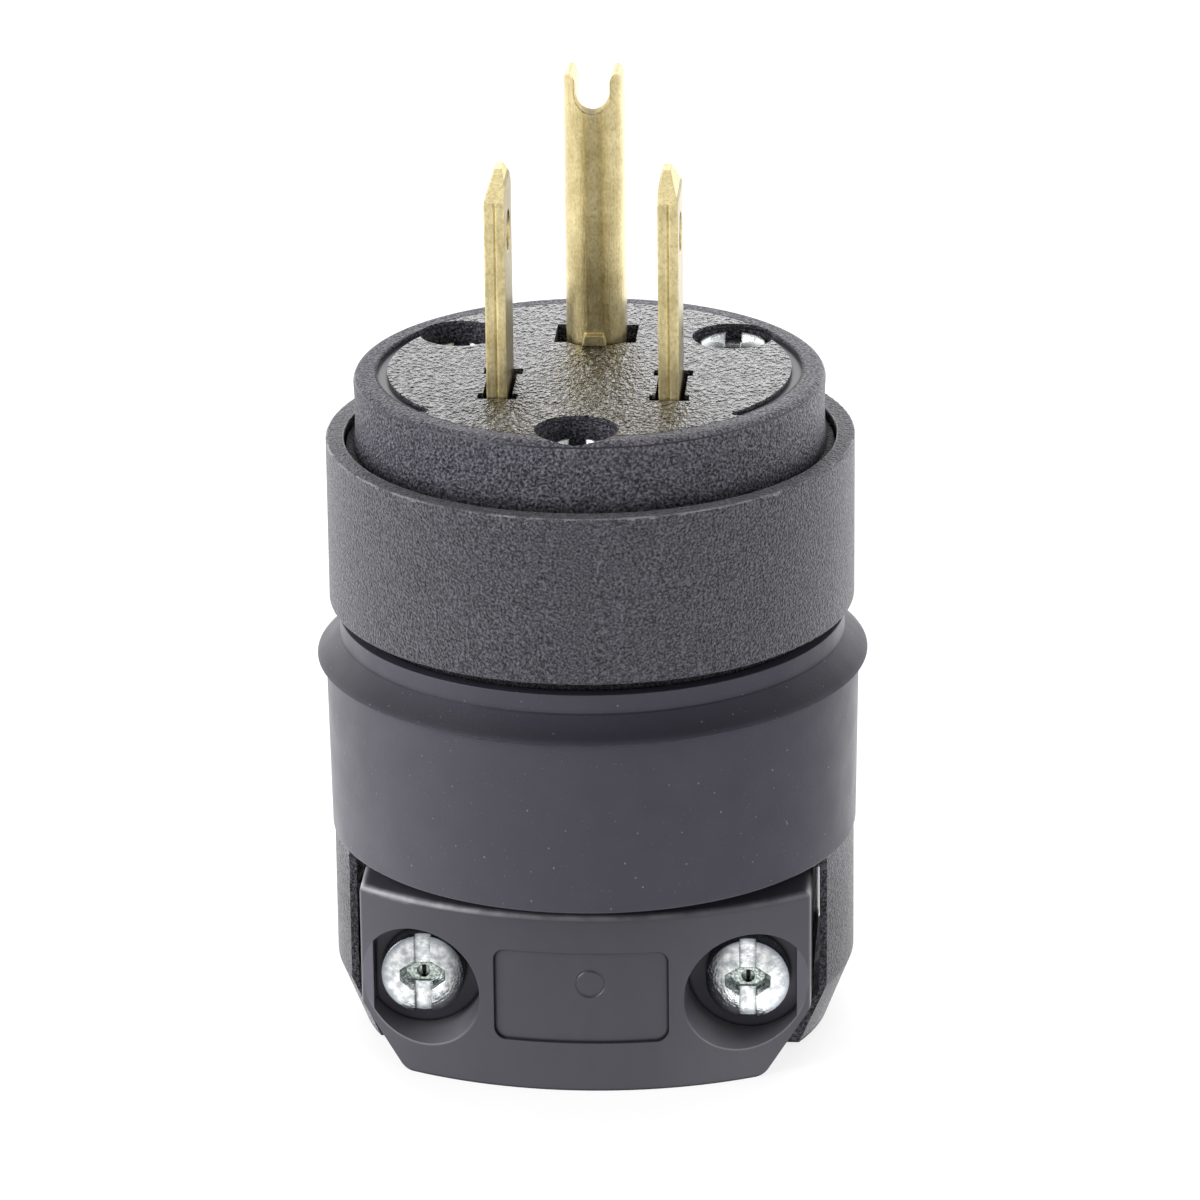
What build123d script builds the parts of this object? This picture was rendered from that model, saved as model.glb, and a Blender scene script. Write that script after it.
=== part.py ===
from build123d import *
import os
from math import cos, hypot, radians, sin, sqrt

# Rubber-bodied grounding plug, 15 A and 125 V pattern, millimetres.
# +Z points out along the blades, the plug stands on its cord clamp at z = 0,
# and the ground pin is on the +Y side of the two flat blades.

# Blades and ground pin
blade_pitch = 12.7
blade_width = 6.35
blade_thickness = 1.52
blade_reach = 16.9
blade_line_y = -4.18
blade_tip_height = 1.95
blade_tip_corner = 2.3
blade_outer_bevel = 0.64
blade_inner_bevel = 0.32
blade_inner_bevel_height = 1.1
blade_seam_width = 0.16
blade_seam_depth = 0.12
blade_hole_radius = 1.6
blade_hole_height = 11.9
pin_radius = 2.24
pin_wall = 0.98
pin_leg = 1.9
pin_reach = 20.9
pin_offset = 11.9
pin_notch_depth = 2.7
pin_notch_draft = 12
pin_prong_height = 0.9
pin_tab_base = 1.8
pin_tab_top = 1.4
pin_tab_height = 0.85
pin_tab_stand = 0.45

# Heights, stacked up from the plane that the plug stands on
clamp_height = 14.15
clamp_to_band = 1.3
band_height = 16.95
band_to_collar = 1.0
collar_height = 12.9
cover_rise = 5.0
seat_thickness = 2.8
block_height = 8.0
band_bottom_z = clamp_height + clamp_to_band
band_top_z = band_bottom_z + band_height
collar_bottom_z = band_top_z + band_to_collar
collar_top_z = collar_bottom_z + collar_height
face_z = collar_top_z + cover_rise
seat_z = collar_bottom_z + seat_thickness
block_top_z = seat_z + block_height

# Outer shell
shell_radius = 19.83
collar_wall = 1.38
waist_depth = 1.83
waist_wall = 2.4
foot_depth = 1.6
ear_half_depth = 8.2
ear_lift = 0.2
ear_taper_height = 4.8
ear_taper_inset = 1.9
ear_slot = 0.55
shell_top_round = 0.12
collar_bottom_round = 0.4
window_side_inset = 2.8
window_height = 4.7
boss_radius = 3.0
boss_drop = 10.0
waist_radius = shell_radius - waist_depth
collar_bore_radius = shell_radius - collar_wall
chamber_radius = waist_radius - waist_wall
foot_radius = chamber_radius - foot_depth
window_half_width = waist_radius - window_side_inset

# Grip band
band_clearance = 0.1
band_bottom_stand = 0.14
band_upper_stand = 0.35
band_neck_inset = 0.73
band_neck_height = 1.5
lip_stand = 1.0
lip_slope_height = 1.75
lip_edge_height = 0.35
band_bottom_round = 0.2
band_bottom_radius = shell_radius + band_bottom_stand
band_upper_radius = shell_radius + band_upper_stand
band_neck_radius = shell_radius - band_neck_inset
lip_radius = shell_radius + lip_stand

# Front cover
cover_gap = 0.75
cover_waist = 0.12
cover_rim_round = 0.7
cover_flange_clearance = 0.15
cover_flange_height = 1.4
groove_rim = 1.8
groove_width = 0.8
groove_depth = 0.35
groove_low_angle = -42.0
groove_high_angle = 36.0
slot_front = 0.25
slot_back = 0.55
slot_wing = 1.3
slot_inner_gap = 0.3
slot_outer_gap = 0.35
slot_wing_gap = 0.7
pin_gap = 0.4
pin_wing_reach = 0.85
pin_wing_length = 4.4
pin_wing_offset = 0.5
cover_radius = collar_bore_radius - cover_gap
groove_outer_radius = cover_radius - groove_rim

# Assembly screws: one in front, two behind
front_screw_inset = 5.5
rear_screw_inset = 6.8
rear_screw_angle = 37.4
rear_right_lift = 1.0
screw_well_radius = 3.08
screw_well_depth = 3.0
assembly_head_radius = 2.45
assembly_head_height = 2.0
assembly_shank_radius = 1.75
assembly_thread_bite = 6.0
screw_hole_clearance = 0.25

# Cord clamp
clamp_side_inset = 2.88
clamp_front_inset = 2.53
clamp_arc_radius = 29.0
clamp_split = 1.0
clamp_corner_inset = 3.45
clamp_corner_height = 4.7
clamp_edge_round = 0.45
clamp_shoulder_round = 0.6
clamp_foot_round = 1.2
neck_inset = 2.0
neck_top_clearance = 0.3
neck_side_clearance = 0.4
neck_wall = 2.2
cord_radius = 5.0
cord_groove_depth = 0.6
cord_groove_height = 1.4
cord_groove_pitch = 3.4
cord_groove_count = 3
clamp_screw_inset = 4.7
clamp_screw_z = 7.1
clamp_well_radius = 4.6
clamp_well_floor_y = 10.4
clamp_well_wall = 1.0
clamp_head_radius = 3.15
clamp_head_height = 2.3
clamp_shank_radius = 1.95
panel_width = 13.1
panel_height = 7.3
panel_round = 0.9
panel_depth = 0.28
panel_z = 7.5
nut_side = 7.0
nut_thickness = 2.8
nut_floor_y = 8.6
nut_clearance = 0.15
clamp_half_width = shell_radius - clamp_side_inset
clamp_front_y = shell_radius - clamp_front_inset
clamp_screw_x = clamp_half_width - clamp_screw_inset
neck_half_width = window_half_width - neck_side_clearance

# Screw head drive: a full slot, and a tapered cross recess in its middle
drive_slot_width = 1.25
drive_slot_depth = 0.95
drive_cross_half = 1.8
drive_cross_tip = 0.45
drive_shoulder_x = 0.75
drive_shoulder_y = 1.2
drive_cross_depth = 1.1
drive_cross_taper = 25
drive_pit_radius = 0.5
drive_pit_depth = 1.6
head_dome_height = 0.45

# Terminals under the block
foot_thickness = 1.3
foot_width = 6.2
foot_reach = 7.0
terminal_offset = 4.05
ground_terminal_offset = 4.5
plate_side = 5.6
plate_thickness = 1.1
terminal_head_radius = 2.8
terminal_head_height = 1.9
terminal_shank_radius = 1.6
terminal_shank_length = 4.8
fit_clearance = 0.1
block_recess = 2.0
block_wall = 2.8

pin_y = blade_line_y + pin_offset
block_radius = collar_bore_radius - cover_flange_clearance
foot_top_z = seat_z + block_recess + foot_thickness
foot_bottom_z = seat_z + block_recess
terminal_drop = terminal_head_height + plate_thickness - block_recess
ground_foot_reach = ground_terminal_offset + plate_side / 2
rear_screw_radius = shell_radius - rear_screw_inset
rear_screw_x = rear_screw_radius * cos(radians(rear_screw_angle))
rear_screw_y = rear_screw_radius * sin(radians(rear_screw_angle))
assembly_points = [
    (0, front_screw_inset - shell_radius),
    (-rear_screw_x, rear_screw_y),
    (rear_screw_x, rear_screw_y),
]
blade_points = [(-blade_pitch / 2, blade_line_y), (blade_pitch / 2, blade_line_y)]
terminal_points = {
    "line": (-blade_pitch / 2 - terminal_offset, blade_line_y),
    "neutral": (blade_pitch / 2 + terminal_offset, blade_line_y),
    "ground": (0, pin_y + ground_terminal_offset),
}
clearance_shank_radius = assembly_shank_radius + screw_hole_clearance

os.makedirs("parts", exist_ok=True)


def ring_edges(part, radius, height):
    """Circular edges of one radius at one height, for a round on a turned rim."""
    return part.edges().filter_by(
        lambda e: e.geom_type == GeomType.CIRCLE
        and abs(e.radius - radius) < 0.01
        and abs(e.center(CenterOf.BOUNDING_BOX).Z - height) < 0.01
    )


def clamp_arc_y(x):
    """Distance of the clamp's curved face from the split plane side, at width x."""
    return clamp_front_y - clamp_arc_radius + sqrt(clamp_arc_radius**2 - x**2)


def make_screw(head_plane, head_radius, head_height, shank_radius, shank_length):
    """Domed screw with its head's bearing face on the plane and its shank behind it."""
    dome_base = head_height - head_dome_height
    crown_radius = (head_radius**2 + head_dome_height**2) / (2 * head_dome_height)
    crown_centre = head_height - crown_radius
    middle = crown_centre + sqrt(crown_radius**2 - (head_radius / 2) ** 2)
    with BuildPart(Plane.XY) as body:
        with BuildSketch(Plane.XZ):
            with BuildLine():
                Polyline(
                    (0, head_height),
                    (0, -shank_length),
                    (shank_radius, -shank_length),
                    (shank_radius, 0),
                    (head_radius, 0),
                    (head_radius, dome_base),
                )
                ThreePointArc((head_radius, dome_base), (head_radius / 2, middle), (0, head_height))
            make_face()
        revolve(axis=Axis.Z)
        with BuildSketch(Plane.XY.offset(head_height)):
            Rectangle(drive_slot_width, 2 * head_radius + 1)
        extrude(amount=-drive_slot_depth, mode=Mode.SUBTRACT)
        with BuildSketch(Plane.XY.offset(head_height)):
            Polygon(
                (drive_cross_half, -drive_cross_tip),
                (drive_cross_half, drive_cross_tip),
                (drive_shoulder_x, drive_shoulder_y),
                (-drive_shoulder_x, drive_shoulder_y),
                (-drive_cross_half, drive_cross_tip),
                (-drive_cross_half, -drive_cross_tip),
                (-drive_shoulder_x, -drive_shoulder_y),
                (drive_shoulder_x, -drive_shoulder_y),
            )
        extrude(amount=-drive_cross_depth, taper=drive_cross_taper, mode=Mode.SUBTRACT)
        with BuildSketch(Plane.XY.offset(head_height)):
            Circle(drive_pit_radius)
        extrude(amount=-drive_pit_depth, mode=Mode.SUBTRACT)
    return head_plane.location * body.part


# Outer shell: collar ring, waist under the band and two ears, one moulding
corner_run = hypot(clamp_corner_inset, clamp_corner_height)
slot_line_x = clamp_half_width + ear_slot * clamp_corner_height / corner_run
slot_line_z = clamp_corner_height - ear_slot * clamp_corner_inset / corner_run
corner_slope = clamp_corner_height / clamp_corner_inset
ear_inner_x = clamp_half_width + ear_slot
ear_knee_z = slot_line_z + (ear_inner_x - slot_line_x) * corner_slope
slot_bottom_x = slot_line_x - slot_line_z / corner_slope
slot_top_z = band_bottom_z - 0.8
ear_top_z = band_bottom_z

with BuildPart() as outer_shell:
    with BuildSketch(Plane.XZ):
        with BuildLine():
            Polyline(
                (foot_radius, ear_lift),
                (shell_radius - ear_taper_inset, ear_lift),
                (shell_radius, ear_lift + ear_taper_height),
                (shell_radius, ear_top_z),
                (waist_radius, ear_top_z),
                (waist_radius, collar_bottom_z),
                (shell_radius, collar_bottom_z),
                (shell_radius, collar_top_z),
                (collar_bore_radius, collar_top_z),
                (collar_bore_radius, seat_z),
                (chamber_radius, seat_z),
                (chamber_radius, slot_top_z),
                (foot_radius, slot_top_z),
                close=True,
            )
        make_face()
    revolve(axis=Axis.Z)
    with BuildSketch(Plane.XY.offset(seat_z - boss_drop)):
        with Locations(assembly_points):
            Circle(boss_radius)
    extrude(amount=boss_drop)
    with BuildSketch(Plane.XY.offset(seat_z)):
        with Locations(assembly_points):
            Circle(assembly_shank_radius + fit_clearance / 2)
    extrude(amount=-(assembly_thread_bite + 1), mode=Mode.SUBTRACT)
    fillet(ring_edges(outer_shell, shell_radius, collar_top_z), shell_top_round)
    fillet(ring_edges(outer_shell, collar_bore_radius, collar_top_z), shell_top_round)
    fillet(ring_edges(outer_shell, shell_radius, collar_bottom_z), collar_bottom_round)
    with BuildSketch(Plane.XY):
        with Locations((0, ear_half_depth + shell_radius), (0, -ear_half_depth - shell_radius)):
            Rectangle(3 * shell_radius, 2 * shell_radius)
    extrude(amount=ear_top_z, mode=Mode.SUBTRACT)
    with BuildSketch(Plane.XZ):
        with BuildLine():
            Polyline(
                (-ear_inner_x, slot_top_z),
                (ear_inner_x, slot_top_z),
                (ear_inner_x, ear_knee_z),
                (slot_bottom_x, 0),
                (-slot_bottom_x, 0),
                (-ear_inner_x, ear_knee_z),
                close=True,
            )
        make_face()
    extrude(amount=shell_radius, both=True, mode=Mode.SUBTRACT)
    with BuildSketch(Plane.XZ):
        with Locations((0, slot_top_z + window_height / 2)):
            Rectangle(2 * window_half_width, window_height)
    extrude(amount=shell_radius, both=True, mode=Mode.SUBTRACT)
    with BuildSketch(Plane.XY.offset(seat_z)):
        with Locations(list(terminal_points.values())):
            Circle(terminal_head_radius + fit_clearance)
    extrude(amount=-(terminal_drop + fit_clearance), mode=Mode.SUBTRACT)
outer_shell.part.label = "outer_shell"
export_step(outer_shell.part, "parts/outer_shell.step")

# Grip band: soft rubber sleeve with a flared lip under the collar
lip_z = band_top_z - band_neck_height - lip_slope_height
with BuildPart() as grip_band:
    with BuildSketch(Plane.XZ):
        with BuildLine():
            Polyline(
                (waist_radius + band_clearance, band_bottom_z),
                (band_bottom_radius, band_bottom_z),
                (band_upper_radius, lip_z - lip_edge_height),
                (lip_radius, lip_z),
                (band_neck_radius, lip_z + lip_slope_height),
                (band_neck_radius, band_top_z),
                (waist_radius + band_clearance, band_top_z),
                close=True,
            )
        make_face()
    revolve(axis=Axis.Z)
    fillet(ring_edges(grip_band, band_bottom_radius, band_bottom_z), band_bottom_round)
grip_band.part.label = "grip_band"
export_step(grip_band.part, "parts/grip_band.step")

# Front cover: face disc with blade slots, pin opening, screw wells and arc grooves
cover_flange_z = block_top_z + cover_flange_height
with BuildPart() as front_cover:
    with BuildSketch(Plane.XZ):
        with BuildLine():
            Polyline(
                (cover_radius, cover_flange_z),
                (block_radius, cover_flange_z),
                (block_radius, block_top_z),
                (0, block_top_z),
                (0, face_z),
                (cover_radius, face_z),
            )
            ThreePointArc(
                (cover_radius, face_z),
                (cover_radius - cover_waist, (face_z + cover_flange_z) / 2),
                (cover_radius, cover_flange_z),
            )
        make_face()
    revolve(axis=Axis.Z)
    fillet(ring_edges(front_cover, cover_radius, face_z), cover_rim_round)
    with BuildSketch(Plane.XY.offset(face_z)):
        with Locations(assembly_points):
            Circle(screw_well_radius)
    extrude(amount=-screw_well_depth, mode=Mode.SUBTRACT)
    with BuildSketch(Plane.XY.offset(face_z)):
        with Locations(assembly_points):
            Circle(clearance_shank_radius)
    extrude(amount=-(face_z - block_top_z), mode=Mode.SUBTRACT)
    slot_length = blade_width + slot_front + slot_back
    slot_centre_y = blade_line_y + (slot_back - slot_front) / 2
    wing_shift_y = (slot_length - slot_wing) / 2
    with BuildSketch(Plane.XY.offset(face_z)):
        for side, (blade_x, _) in zip((-1, 1), blade_points):
            inner_x = blade_x - side * (blade_thickness / 2 + slot_inner_gap)
            outer_x = blade_x + side * (blade_thickness / 2 + slot_outer_gap)
            with Locations(((inner_x + outer_x) / 2, slot_centre_y)):
                Rectangle(abs(outer_x - inner_x), slot_length)
            with Locations((blade_x, slot_centre_y)):
                with Locations((0, wing_shift_y), (0, -wing_shift_y)):
                    Rectangle(blade_thickness + 2 * slot_wing_gap, slot_wing)
    extrude(amount=-(face_z - block_top_z), mode=Mode.SUBTRACT)
    with BuildSketch(Plane.XY.offset(face_z)):
        with Locations((0, pin_y)):
            Circle(pin_radius + pin_gap)
        with Locations((0, pin_y + pin_wing_offset)):
            Rectangle(2 * (pin_radius + pin_wing_reach), pin_wing_length)
    extrude(amount=-(face_z - block_top_z), mode=Mode.SUBTRACT)
    groove_radius = groove_outer_radius - groove_width / 2
    groove_span = groove_high_angle - groove_low_angle
    with BuildSketch(Plane.XY.offset(face_z)):
        for start in (groove_low_angle, 180 - groove_high_angle):
            with BuildLine():
                groove_line = CenterArc((0, 0), groove_radius, start, groove_span)
            SlotArc(groove_line, groove_width)
    extrude(amount=-groove_depth, mode=Mode.SUBTRACT)
front_cover.part.label = "front_cover"
export_step(front_cover.part, "parts/front_cover.step")

# Terminal block: holds the blades, the pin and their feet under the cover
with BuildPart() as terminal_block:
    with BuildSketch(Plane.XY.offset(seat_z)):
        Circle(block_radius)
    extrude(amount=block_height)
    with BuildSketch(Plane.XY.offset(seat_z)):
        Circle(block_radius - block_wall)
        with Locations(list(terminal_points.values())):
            Rectangle(plate_side + 2 * fit_clearance, plate_side + 2 * fit_clearance)
        with Locations(assembly_points):
            Circle(boss_radius, mode=Mode.SUBTRACT)
    extrude(amount=block_recess, mode=Mode.SUBTRACT)
    with BuildSketch(Plane.XY.offset(foot_bottom_z)):
        for side, (blade_x, blade_y) in zip((-1, 1), blade_points):
            outer_x = blade_x + side * (foot_reach - blade_thickness / 2 + fit_clearance)
            inner_x = blade_x - side * (blade_thickness / 2 + fit_clearance)
            with Locations(((outer_x + inner_x) / 2, blade_y)):
                Rectangle(abs(outer_x - inner_x), blade_width + 2 * fit_clearance)
        with Locations((0, pin_y + ground_foot_reach / 2)):
            Rectangle(2 * pin_radius + 2 * fit_clearance, ground_foot_reach + 2 * fit_clearance)
    extrude(amount=foot_thickness, mode=Mode.SUBTRACT)
    with BuildSketch(Plane.XY.offset(foot_bottom_z)):
        with Locations(blade_points):
            Rectangle(blade_thickness + 2 * fit_clearance, blade_width + 2 * fit_clearance)
        with Locations((0, pin_y)):
            Circle(pin_radius + fit_clearance)
        with Locations((0, pin_y + pin_leg / 2)):
            Rectangle(2 * pin_radius + 2 * fit_clearance, pin_leg + 2 * fit_clearance)
        with Locations(list(terminal_points.values())):
            Circle(terminal_shank_radius + screw_hole_clearance)
        with Locations(assembly_points):
            Circle(clearance_shank_radius)
    extrude(amount=block_height, mode=Mode.SUBTRACT)
    with BuildSketch(Plane.XY.offset(seat_z)):
        with Locations(assembly_points):
            Circle(clearance_shank_radius)
    extrude(amount=block_height, mode=Mode.SUBTRACT)
terminal_block.part.label = "terminal_block"
export_step(terminal_block.part, "parts/terminal_block.step")

# Flat blade: folded brass strip with a bevelled tip and a foot for its terminal
blade_top_z = face_z + blade_reach
with BuildPart() as blade_line:
    with BuildSketch(Plane.YZ.offset(-blade_pitch / 2)):
        with BuildLine():
            Polyline(
                (blade_line_y - blade_width / 2, foot_bottom_z),
                (blade_line_y + blade_width / 2, foot_bottom_z),
                (blade_line_y + blade_width / 2, blade_top_z - blade_tip_height),
                (blade_line_y + blade_width / 2 - blade_tip_corner, blade_top_z),
                (blade_line_y - blade_width / 2 + blade_tip_corner, blade_top_z),
                (blade_line_y - blade_width / 2, blade_top_z - blade_tip_height),
                close=True,
            )
        make_face()
        with Locations((blade_line_y, face_z + blade_hole_height)):
            Circle(blade_hole_radius, mode=Mode.SUBTRACT)
    extrude(amount=blade_thickness / 2, both=True)
    tip_outer_x = -blade_pitch / 2 - blade_thickness / 2
    tip_inner_x = -blade_pitch / 2 + blade_thickness / 2
    with BuildSketch(Plane.XZ.offset(-blade_line_y)):
        with BuildLine():
            Polyline(
                (tip_outer_x, foot_bottom_z),
                (tip_inner_x, foot_bottom_z),
                (tip_inner_x, blade_top_z - blade_inner_bevel_height),
                (tip_inner_x - blade_inner_bevel, blade_top_z),
                (tip_outer_x + blade_outer_bevel, blade_top_z),
                (tip_outer_x, blade_top_z - blade_tip_height),
                close=True,
            )
        make_face()
    extrude(amount=blade_width, both=True, mode=Mode.INTERSECT)
    for edge_y in (blade_line_y - blade_width / 2, blade_line_y + blade_width / 2):
        with BuildSketch(Plane.XY.offset(face_z - cover_rise)):
            with Locations((-blade_pitch / 2, edge_y)):
                Rectangle(blade_seam_width, 2 * blade_seam_depth)
        extrude(amount=cover_rise + blade_reach - blade_tip_height, mode=Mode.SUBTRACT)
    with BuildSketch(Plane.XY.offset(foot_bottom_z)):
        with Locations((-blade_pitch / 2 - foot_reach / 2, blade_line_y)):
            Rectangle(foot_reach - blade_thickness, foot_width)
        with Locations(terminal_points["line"]):
            Circle(terminal_shank_radius + fit_clearance / 2, mode=Mode.SUBTRACT)
    extrude(amount=foot_thickness)
blade_line.part.label = "blade_line"
export_step(blade_line.part, "parts/blade_line.step")

with BuildPart() as blade_neutral:
    mirror(blade_line.part, about=Plane.YZ)
blade_neutral.part.label = "blade_neutral"
export_step(blade_neutral.part, "parts/blade_neutral.step")

# Ground pin: strip rolled to a channel, closed towards the blades, notched at its tip
pin_top_z = face_z + pin_reach
pin_bore = pin_radius - pin_wall
prong_z = pin_top_z - pin_prong_height
notch_z = pin_top_z - pin_notch_depth + pin_bore
with BuildPart() as ground_pin:
    with BuildSketch(Plane.XY.offset(foot_bottom_z)):
        with Locations((0, pin_y)):
            Circle(pin_radius)
            Circle(pin_bore, mode=Mode.SUBTRACT)
            with Locations((0, pin_radius)):
                Rectangle(2 * pin_radius + 1, 2 * pin_radius, mode=Mode.SUBTRACT)
            for side in (-1, 1):
                with Locations((side * (pin_radius - pin_wall / 2), pin_leg / 2)):
                    Rectangle(pin_wall, pin_leg)
    extrude(amount=pin_top_z - foot_bottom_z)
    with BuildSketch(Plane.XZ.offset(pin_bore - pin_y)) as notch:
        with Locations((0, notch_z)):
            Circle(pin_bore)
        with Locations((0, notch_z + pin_notch_depth)):
            Rectangle(2 * pin_bore, 2 * pin_notch_depth)
    extrude(amount=pin_wall + 1, taper=-pin_notch_draft, mode=Mode.SUBTRACT)
    extrude(notch.sketch, amount=-pin_bore, mode=Mode.SUBTRACT)
    with BuildSketch(Plane.XZ.offset(-pin_y)):
        with Locations((0, (prong_z + foot_bottom_z) / 2)):
            Rectangle(2 * pin_radius, prong_z - foot_bottom_z)
        with Locations((pin_wall / 2 - pin_radius, prong_z), (pin_radius - pin_wall / 2, prong_z)):
            Ellipse(pin_wall / 2, pin_prong_height)
    extrude(amount=2 * pin_radius, both=True, mode=Mode.INTERSECT)
    with BuildSketch(Plane.XZ.offset(pin_radius + pin_tab_stand - pin_y)):
        Polygon(
            (-pin_tab_base / 2, face_z),
            (pin_tab_base / 2, face_z),
            (pin_tab_top / 2, face_z + pin_tab_height),
            (-pin_tab_top / 2, face_z + pin_tab_height),
            align=None,
        )
    extrude(amount=-(pin_tab_stand + pin_wall / 2))
    with BuildSketch(Plane.XY.offset(foot_bottom_z)):
        with Locations((0, pin_y + ground_terminal_offset / 2)):
            Rectangle(2 * pin_bore, ground_terminal_offset)
        with Locations(terminal_points["ground"]):
            Rectangle(2 * pin_radius, plate_side)
            Circle(terminal_shank_radius + fit_clearance / 2, mode=Mode.SUBTRACT)
    extrude(amount=foot_thickness)
ground_pin.part.label = "ground_pin"
export_step(ground_pin.part, "parts/ground_pin.step")

# Terminal screws and the square plates that they press against the feet
plate_bottom_z = foot_bottom_z - plate_thickness
for pole, (terminal_x, terminal_y) in terminal_points.items():
    with BuildPart() as pressure_plate:
        with BuildSketch(Plane.XY.offset(plate_bottom_z)):
            with Locations((terminal_x, terminal_y)):
                RectangleRounded(plate_side, plate_side, plate_side / 8)
                Circle(terminal_shank_radius + fit_clearance / 2, mode=Mode.SUBTRACT)
        extrude(amount=plate_thickness)
    pressure_plate.part.label = f"pressure_plate_{pole}"
    export_step(pressure_plate.part, f"parts/pressure_plate_{pole}.step")

    head_plane = Plane((terminal_x, terminal_y, plate_bottom_z), x_dir=(1, 0, 0), z_dir=(0, 0, -1))
    with BuildPart() as terminal_screw:
        add(make_screw(head_plane, terminal_head_radius, terminal_head_height,
                       terminal_shank_radius, terminal_shank_length))
    terminal_screw.part.label = f"terminal_screw_{pole}"
    export_step(terminal_screw.part, f"parts/terminal_screw_{pole}.step")

# Assembly screws: from the face, through cover and block, into the shell's bosses;
# the rear right one is not screwed fully home
bearing_z = face_z - screw_well_depth
assembly_shank_length = bearing_z - seat_z + assembly_thread_bite
assembly_lifts = {"front": 0, "rear_left": 0, "rear_right": rear_right_lift}
for (place, lift), (screw_x, screw_y) in zip(assembly_lifts.items(), assembly_points):
    head_plane = Plane((screw_x, screw_y, bearing_z + lift), x_dir=(1, 0, 0), z_dir=(0, 0, 1))
    with BuildPart() as assembly_screw:
        add(make_screw(head_plane, assembly_head_radius, assembly_head_height,
                       assembly_shank_radius, assembly_shank_length))
    assembly_screw.part.label = f"assembly_screw_{place}"
    export_step(assembly_screw.part, f"parts/assembly_screw_{place}.step")

# Cutter for the shallow panel, whose floor runs parallel to the clamp's curved face
with BuildPart() as panel_cutter:
    with BuildSketch(Plane.XZ):
        with Locations((0, panel_z)):
            RectangleRounded(panel_width, panel_height, panel_round)
    extrude(amount=2 * clamp_front_y)
    with BuildSketch(Plane.XY):
        with Locations((0, clamp_arc_radius - clamp_front_y)):
            Circle(clamp_arc_radius - panel_depth)
    extrude(amount=clamp_height, mode=Mode.SUBTRACT)

# Plain clamp half, standing on the -Y side: block, neck, cord bore and screw holes
neck_radius = waist_radius - neck_inset
neck_top_z = slot_top_z + window_height - neck_top_clearance
flank_y = clamp_arc_y(clamp_half_width)
with BuildPart() as clamp_half:
    with BuildSketch(Plane.XY):
        with BuildLine():
            Polyline(
                (-clamp_half_width, -flank_y),
                (-clamp_half_width, -clamp_split),
                (clamp_half_width, -clamp_split),
                (clamp_half_width, -flank_y),
            )
            ThreePointArc(
                (clamp_half_width, -flank_y), (0, -clamp_front_y), (-clamp_half_width, -flank_y)
            )
        make_face()
    extrude(amount=clamp_height)
    with BuildSketch(Plane.XZ):
        for side in (-1, 1):
            with BuildLine():
                Polyline(
                    (side * clamp_half_width, clamp_corner_height),
                    (side * (clamp_half_width - clamp_corner_inset), 0),
                    (side * (clamp_half_width + 1), 0),
                    (side * (clamp_half_width + 1), clamp_corner_height),
                    close=True,
                )
            make_face()
    extrude(amount=2 * clamp_front_y, mode=Mode.SUBTRACT)
    flank_edges = clamp_half.edges().filter_by(Axis.Z).group_by(Axis.Y)[0]
    fillet(flank_edges, clamp_edge_round)
    shoulder = clamp_half.edges().group_by(Axis.Z)[-1].filter_by(
        lambda e: e.geom_type == GeomType.CIRCLE and abs(e.radius - clamp_arc_radius) < 0.01
    )
    fillet(shoulder, clamp_shoulder_round)
    foot_corners = clamp_half.edges().filter_by(Axis.Y).group_by(Axis.Z)[0]
    fillet(foot_corners, clamp_foot_round)
    with BuildSketch(Plane.XY.offset(clamp_height)):
        Circle(neck_radius)
        Circle(neck_radius - neck_wall, mode=Mode.SUBTRACT)
        with Locations((0, -neck_radius / 2 - clamp_split)):
            Rectangle(2 * neck_half_width, neck_radius, mode=Mode.INTERSECT)
    extrude(amount=neck_top_z - clamp_height)
    with BuildSketch(Plane.XY):
        Circle(cord_radius)
    extrude(amount=clamp_height, mode=Mode.SUBTRACT)
    for index in range(cord_groove_count):
        groove_z = clamp_height / 2 + (index - (cord_groove_count - 1) / 2) * cord_groove_pitch
        with BuildSketch(Plane.XY.offset(groove_z - cord_groove_height / 2)):
            Circle(cord_radius + cord_groove_depth)
        extrude(amount=cord_groove_height, mode=Mode.SUBTRACT)
    with BuildSketch(Plane.XZ):
        with Locations((-clamp_screw_x, clamp_screw_z), (clamp_screw_x, clamp_screw_z)):
            Circle(clamp_shank_radius + screw_hole_clearance)
    extrude(amount=2 * clamp_front_y, mode=Mode.SUBTRACT)

# Front clamp half: adds the screw wells and the shallow panel
well_flat_x = clamp_half_width - clamp_well_wall
with BuildPart() as clamp_front:
    add(clamp_half.part)
    with BuildSketch(Plane.XZ.offset(clamp_well_floor_y)):
        with Locations((-clamp_screw_x, clamp_screw_z), (clamp_screw_x, clamp_screw_z)):
            Circle(clamp_well_radius)
        with Locations((0, clamp_screw_z)):
            Rectangle(2 * well_flat_x, 3 * clamp_well_radius, mode=Mode.INTERSECT)
    extrude(amount=clamp_front_y, mode=Mode.SUBTRACT)
    add(panel_cutter.part, mode=Mode.SUBTRACT)
clamp_front.part.label = "clamp_front"
export_step(clamp_front.part, "parts/clamp_front.step")

# Rear clamp half: the same moulding turned round, with square pockets for the nuts
with BuildPart() as clamp_rear:
    mirror(clamp_half.part, about=Plane.XZ)
    with BuildSketch(Plane.XZ.offset(-nut_floor_y)):
        with Locations((-clamp_screw_x, clamp_screw_z), (clamp_screw_x, clamp_screw_z)):
            Rectangle(nut_side + 2 * nut_clearance, nut_side + 2 * nut_clearance)
    extrude(amount=-clamp_front_y, mode=Mode.SUBTRACT)
clamp_rear.part.label = "clamp_rear"
export_step(clamp_rear.part, "parts/clamp_rear.step")

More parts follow.
